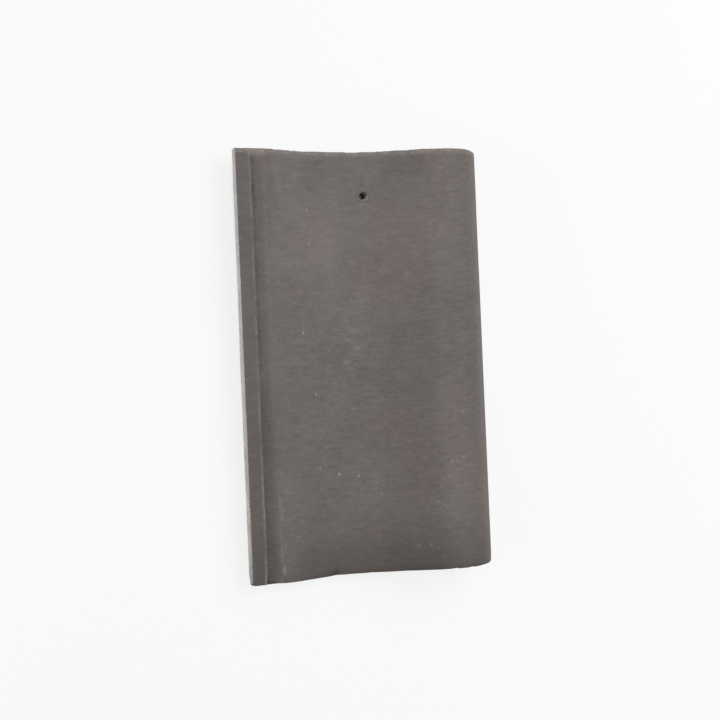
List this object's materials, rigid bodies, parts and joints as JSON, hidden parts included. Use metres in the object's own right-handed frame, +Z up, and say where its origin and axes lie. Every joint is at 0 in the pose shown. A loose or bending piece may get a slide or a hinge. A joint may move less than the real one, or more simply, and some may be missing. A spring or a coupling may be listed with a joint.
{
  "type": "roof tile",
  "caption": "Interlocking concrete roof tile with an S-shaped wave, a lock rib and channel along one side, a covering lip along the other, a nail hole and hanging nibs underneath.",
  "frame": {"origin": "centre of the tile's plan, on the floor it lies on", "axes": "+Z up, out of the face; +Y from the tail to the head; +X from the lock rib to the covering lip"},
  "size_m": [0.229, 0.3818, 0.0591],
  "materials": {
    "concrete": "matt dark grey coat on the face, bare concrete on the sides and underside"
  },
  "bodies": {
    "root": {"roof_tile": "concrete"}
  },
  "joints": []
}
